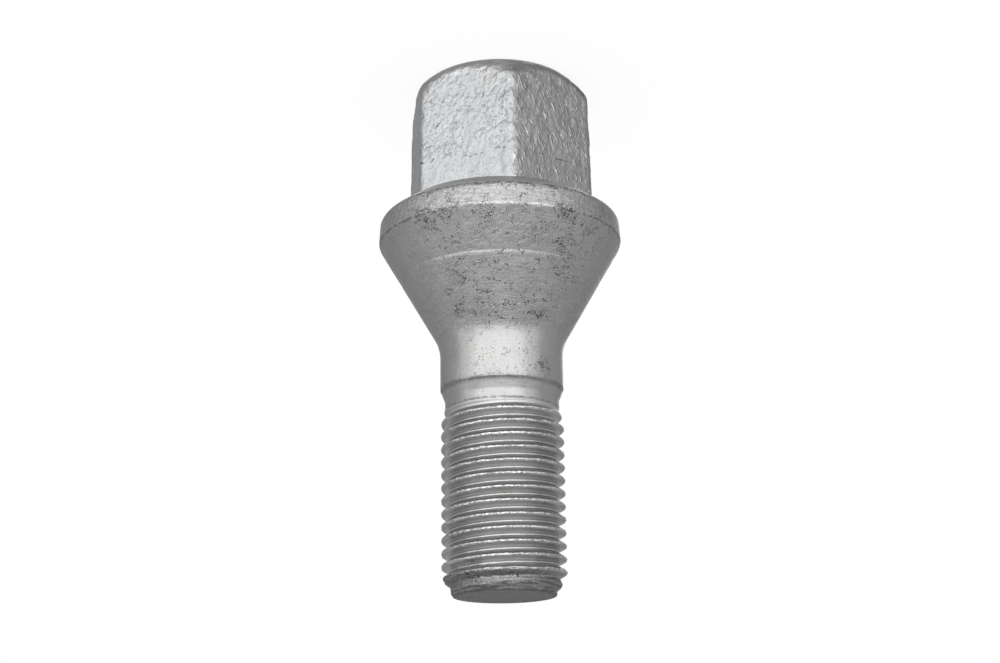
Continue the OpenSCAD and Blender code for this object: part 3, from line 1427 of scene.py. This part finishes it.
    def relief(self, sheet: NodeSheet, on: Layers) -> Wire:
        """Height of the fine relief, in millimetres.

        Args:
            sheet: the material's nodes.
            on: the layers.

        Returns:
            The height.
        """
        coat, forging = on.coat, on.forging
        torn = sheet.noise(on.place.at, TORN_CRESTS)
        relief = 0.17 * forging.pebble * coat.pebbles + 0.08 * forging.drag * coat.streaks
        relief = relief + 0.022 * on.ring * coat.rings - 0.05 * forging.pit * coat.pebbles
        relief = relief - 0.03 * on.curl - 0.015 * on.speck - 0.04 * on.chip - 0.05 * on.start_line
        relief = relief + 0.008 * on.fine + 0.06 * torn * on.rolling.crest
        return relief + 0.08 * (forging.stroke + forging.nick_and_glint) * coat.streaks

    def material(self) -> bpy.types.Material:
        """Draws up the finish.

        Returns:
            The material.
        """
        sheet = NodeSheet("zinc_flake")
        on = self.layers(sheet)
        bare = on.rolling.crest + on.rolling.root
        scale = {0: self.cast(sheet, on.place), "Scale": self.tone(sheet, on)}
        colour = sheet.node("VectorMath", {"operation": "SCALE"}, scale)
        dull = on.coat.roughness + 0.10 * (on.mottle - 0.5) + 0.2 * on.speck
        dull = dull - 0.15 * bare - 0.07 * on.place.painted_shade_side
        relief = {"Height": self.relief(sheet, on), "Distance": MM, "Strength": 1.0}
        sheet.set(sheet.shader, "Specular Tint", (self.edge_tint,) * 3 + (1,))
        sheet.set(sheet.shader, "Base Color", colour)
        sheet.set(sheet.shader, "Roughness", dull)
        sheet.set(sheet.shader, "Metallic", sheet.least(on.coat.metal + 0.5 * on.rolling.lobe + bare, 1.0))
        sheet.set(sheet.shader, "Normal", sheet.node("Bump", sockets=relief))
        return sheet.material


@dataclass
class Bolt:
    """The whole bolt: head, turned stretch and thread, joined into one closed piece."""

    head: Head = field(default_factory=Head)
    body: Body = field(default_factory=Body)

    def thread(self) -> Thread:
        """The thread, which starts where the neck ends."""
        return Thread(start=self.body.thread_start(), neck=self.body.neck)

    def join(self, parts: Sequence[bpy.types.Object]) -> bpy.types.Object:
        """Joins the parts, and closes the gap between the hexagon's foot and the collar.

        Args:
            parts: head, turned stretch and thread.

        Returns:
            The closed piece, still in millimetres.
        """
        fresh_start()
        for part in parts:
            part.select_set(True)
        bpy.context.view_layer.objects.active = parts[0]
        bpy.ops.object.join()
        bolt = bpy.context.object
        bolt.name = "zinc_flake_bolt"
        bolt.data.name = bolt.name
        merge_doubles(bolt)
        take_up(bolt)
        bpy.ops.object.mode_set(mode="EDIT")
        pick(bolt, "EDGE", open_at(self.body.foot))
        bpy.ops.mesh.bridge_edge_loops()
        bpy.ops.mesh.select_all(action="SELECT")
        bpy.ops.mesh.normals_make_consistent(inside=False)
        left = pick(bolt, "EDGE", lambda edge: not edge.is_manifold)
        LOG.info("edges that aren't shared by two faces: %d", left)
        bpy.ops.object.mode_set(mode="OBJECT")
        return bolt

    def build(self) -> bpy.types.Object:
        """Models, joins and dresses the bolt.

        Returns:
            The finished piece.
        """
        thread = self.thread()
        parts = [self.head.build(), self.body.build(), thread.build()]
        for part in parts:
            LOG.info("%s: %d faces", part.name, len(part.data.polygons))
        bolt = self.join(parts)
        bolt.scale = (MM, MM, MM)
        bpy.ops.object.transform_apply(location=True, rotation=True, scale=True)
        bpy.ops.object.shade_smooth_by_angle(angle=SMOOTH_ANGLE)
        bolt.data.materials.clear()
        bolt.data.materials.append(ZincFlake(self.head, self.body, thread).material())
        triangles = sum(len(face.vertices) - 2 for face in bolt.data.polygons)
        LOG.info("%s: %d triangles", bolt.name, triangles)
        return bolt


def direction(azimuth: float, elevation: float) -> Vector:
    """The way to a camera or lamp that stands at these angles, in degrees."""
    a, e = math.radians(azimuth), math.radians(elevation)
    return Vector((math.sin(a) * math.cos(e), -math.cos(a) * math.cos(e), math.sin(e)))


@dataclass(frozen=True)
class Softbox:
    """A large soft lamp that faces the bolt. Angles in degrees, lengths in metres."""

    name: str
    azimuth: float
    elevation: float
    width: float
    height: float
    glow: float
    distance: float = 0.60

    def place(self, aim: Vector) -> None:
        """Puts the lamp in its place.

        Args:
            aim: the point that it faces.
        """
        lamp = bpy.data.lights.new(self.name, "AREA")
        lamp.shape = "RECTANGLE"
        lamp.size = self.width
        lamp.size_y = self.height
        lamp.energy = self.glow * math.pi * self.width * self.height
        stand = bpy.data.objects.new(self.name, lamp)
        bpy.context.scene.collection.objects.link(stand)
        way = direction(self.azimuth, self.elevation)
        stand.location = aim + way * self.distance
        stand.rotation_euler = way.to_track_quat("Z", "Y").to_euler()


@dataclass(frozen=True)
class Studio:
    """Pale floor, soft lamps and the camera."""

    aim: Vector = Vector((0, 0, 25.6 * MM))
    azimuth: float = 8.3
    elevation: float = 17.2
    distance: float = 156.5 * MM
    lens: float = 57.6
    roll: float = 180 - 0.785
    aside: float = 0.11 * MM
    floor_width: float = 6.0
    floor_glow: float = 0.9
    lamps: tuple[Softbox, ...] = (
        Softbox("front_softbox", azimuth=14, elevation=-12, width=1.28, height=0.90, glow=2.45),
        Softbox("left_softbox", azimuth=77, elevation=-12, width=0.30, height=0.80, glow=1.20),
        Softbox("right_softbox", azimuth=-48, elevation=-12, width=0.30, height=0.80, glow=1.10),
        Softbox("back_softbox", azimuth=197, elevation=-32, width=0.35, height=0.50, glow=1.60),
    )

    def build(self) -> None:
        """Sets up floor, world, lamps and camera."""
        self.lay_floor()
        self.light_world()
        for lamp in self.lamps:
            lamp.place(self.aim)
        self.place_camera()
        bpy.context.scene.view_settings.view_transform = "Standard"

    def lay_floor(self) -> None:
        """Lays the floor under the bolt. It lets the light of the low lamps through."""
        fresh_start()
        bpy.ops.mesh.primitive_plane_add(size=self.floor_width)
        floor = bpy.context.object
        floor.name = "floor"
        floor.visible_shadow = False
        floor.visible_glossy = False
        sheet = NodeSheet("pale_floor")
        sheet.set(sheet.shader, "Base Color", (0.95, 0.95, 0.95, 1))
        sheet.set(sheet.shader, "Roughness", 0.9)
        sheet.set(sheet.shader, "Specular IOR Level", 0.0)
        seen = sheet.node("LightPath", out="Is Camera Ray")
        outputs = seen.socket.node.outputs
        for name in ("Is Glossy Ray", "Is Transmission Ray"):
            seen = sheet.most(seen, Wire(sheet, outputs[name]))
        glow = sheet.node("Emission", sockets={"Color": (1, 1, 1, 1), "Strength": 1.0})
        plain = Wire(sheet, sheet.shader.outputs[0])
        mixed = sheet.node("MixShader", sockets={0: seen * self.floor_glow, 1: plain, 2: glow})
        sheet.set(sheet.tree.nodes["Material Output"], "Surface", mixed)
        floor.data.materials.append(sheet.material)

    def light_world(self) -> None:
        """Makes the surroundings plain white."""
        world = bpy.data.worlds.new("white_room")
        world.use_nodes = True
        background = world.node_tree.nodes["Background"]
        background.inputs["Color"].default_value = (1, 1, 1, 1)
        background.inputs["Strength"].default_value = 1.0
        bpy.context.scene.world = world

    def place_camera(self) -> None:
        """Places the camera at the photo's viewing angle, turned head-up as in the photo."""
        data = bpy.data.cameras.new("camera")
        data.sensor_width = 36
        data.lens = self.lens
        data.clip_start = 0.005
        camera = bpy.data.objects.new("camera", data)
        bpy.context.scene.collection.objects.link(camera)
        way = direction(self.azimuth, self.elevation)
        upright = way.to_track_quat("Z", "Y")
        turned = upright @ Quaternion((0, 0, 1), math.radians(self.roll))
        right = turned @ Vector((1, 0, 0))
        camera.location = self.aim + way * self.distance - right * self.aside
        camera.rotation_euler = turned.to_euler()
        bpy.context.scene.camera = camera


def main() -> None:
    """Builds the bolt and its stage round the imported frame."""
    logging.basicConfig(level=logging.INFO, format="%(name)s: %(message)s", stream=sys.stdout)
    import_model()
    bolt = Bolt().build()
    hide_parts(NODE)
    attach(bolt, BODY)
    Studio().build()
    bpy.context.view_layer.update()


if __name__ == "__main__":
    main()
